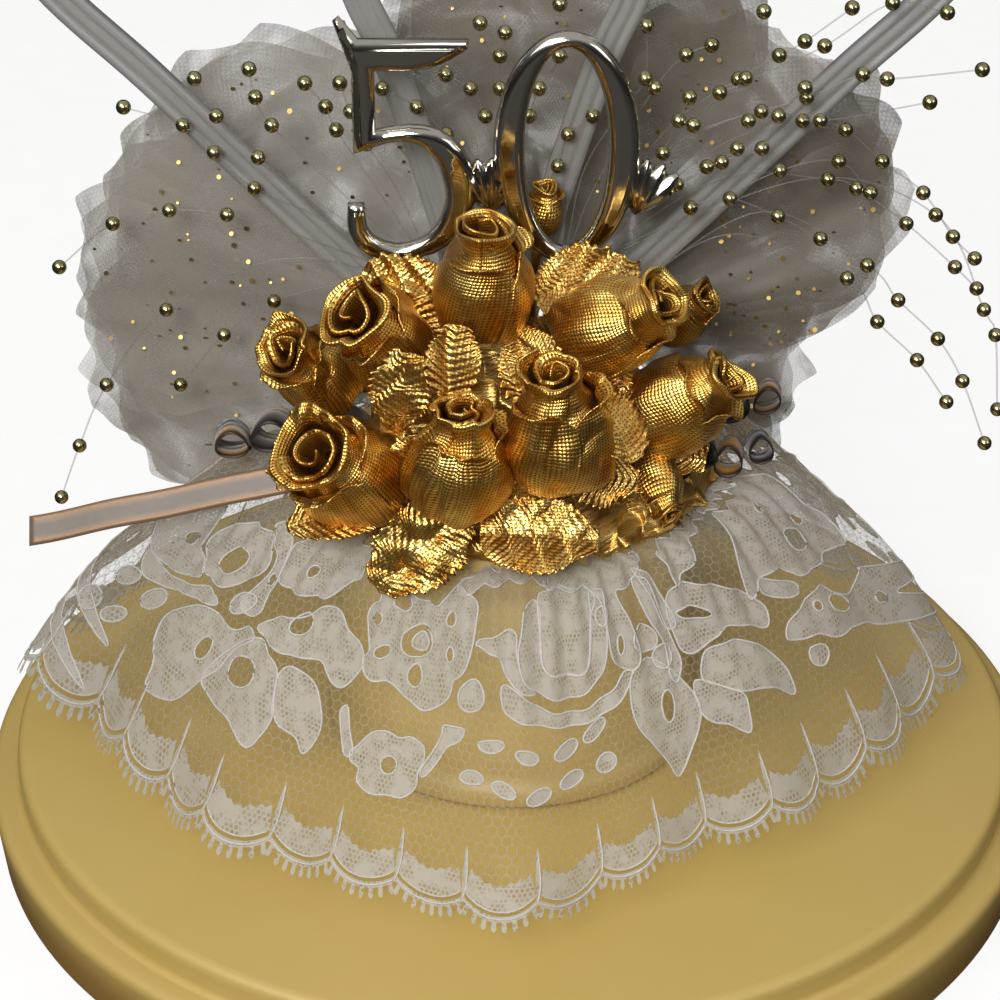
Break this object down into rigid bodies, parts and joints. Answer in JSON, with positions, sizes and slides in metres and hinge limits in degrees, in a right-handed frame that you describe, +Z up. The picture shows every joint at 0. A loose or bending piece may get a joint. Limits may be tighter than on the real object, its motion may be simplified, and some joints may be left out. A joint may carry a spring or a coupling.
{
  "type": "anniversary cake topper",
  "caption": "Standing golden-anniversary ornament: number fifty and clear heart over gold fabric rosebuds, bead sprays and tulle, with a lace skirt on a round base.",
  "frame": {"origin": "centre of the foot ring, on the table", "axes": "+Z up, +X to the viewer's right, -Y towards the viewer who reads the number"},
  "size_m": [0.1184, 0.1184, 0.1395],
  "materials": {
    "aged_ivory_plastic": "satin, yellowed with age",
    "cream_plastic": "satin",
    "white_lace": "machine lace",
    "dry_foam": "porous",
    "gold_lame": "metallic weave",
    "bright_plating": "bright, warm",
    "clear_plastic": "clear, fluted",
    "gold_beads": "polished",
    "white_tulle": "fine net",
    "gold_edged_ribbon": "satin with gold edges"
  },
  "bodies": {
    "root": {"base": "aged_ivory_plastic", "column": "cream_plastic", "lace_skirt": "white_lace", "foam_block": "dry_foam", "rosebud_top": "gold_lame", "rosebud_upper_left": "gold_lame", "rosebud_lower_left": "gold_lame", "rosebud_lower_centre": "gold_lame", "rosebud_centre": "gold_lame", "rosebud_upper_right": "gold_lame", "rosebud_right": "gold_lame", "rosebud_far_right": "gold_lame", "rosebud_far_left": "gold_lame", "rosebud_low_right": "gold_lame", "rosebud_behind_figure": "gold_lame", "leaf_flap_right": "gold_lame", "leaf_centre": "gold_lame", "leaf_under_top": "gold_lame", "leaf_inner_right": "gold_lame", "leaf_left": "gold_lame", "leaf_inner_left": "gold_lame", "leaf_between": "gold_lame", "leaf_left_foot": "gold_lame", "leaf_front_left": "gold_lame", "leaf_front_right": "gold_lame", "leaf_right_foot": "gold_lame", "leaf_low_right": "gold_lame", "leaf_left_side": "gold_lame", "leaf_top_left": "gold_lame", "leaf_top_right": "gold_lame", "leaf_upper_left": "gold_lame", "leaf_upper_right": "gold_lame", "leaf_mid_right": "gold_lame", "figure_50": "bright_plating", "heart_frame": "clear_plastic", "bead_spray_right_drooping": "gold_beads", "bead_spray_right": "gold_beads", "bead_spray_upper_right": "gold_beads", "bead_spray_middle_right": "gold_beads", "bead_spray_middle": "gold_beads", "bead_spray_upper_left": "gold_beads", "bead_spray_left": "gold_beads", "tulle_left_top": "white_tulle", "tulle_left_middle": "white_tulle", "tulle_left_low": "white_tulle", "tulle_centre": "white_tulle", "tulle_right_top": "white_tulle", "tulle_right_middle": "white_tulle", "tulle_right_low": "white_tulle", "bow_loop_left_upper": "gold_edged_ribbon", "bow_loop_left_lower": "gold_edged_ribbon", "bow_loop_right_upper": "gold_edged_ribbon", "bow_loop_right_lower": "gold_edged_ribbon", "bow_tail_left": "gold_edged_ribbon"}
  },
  "joints": []
}
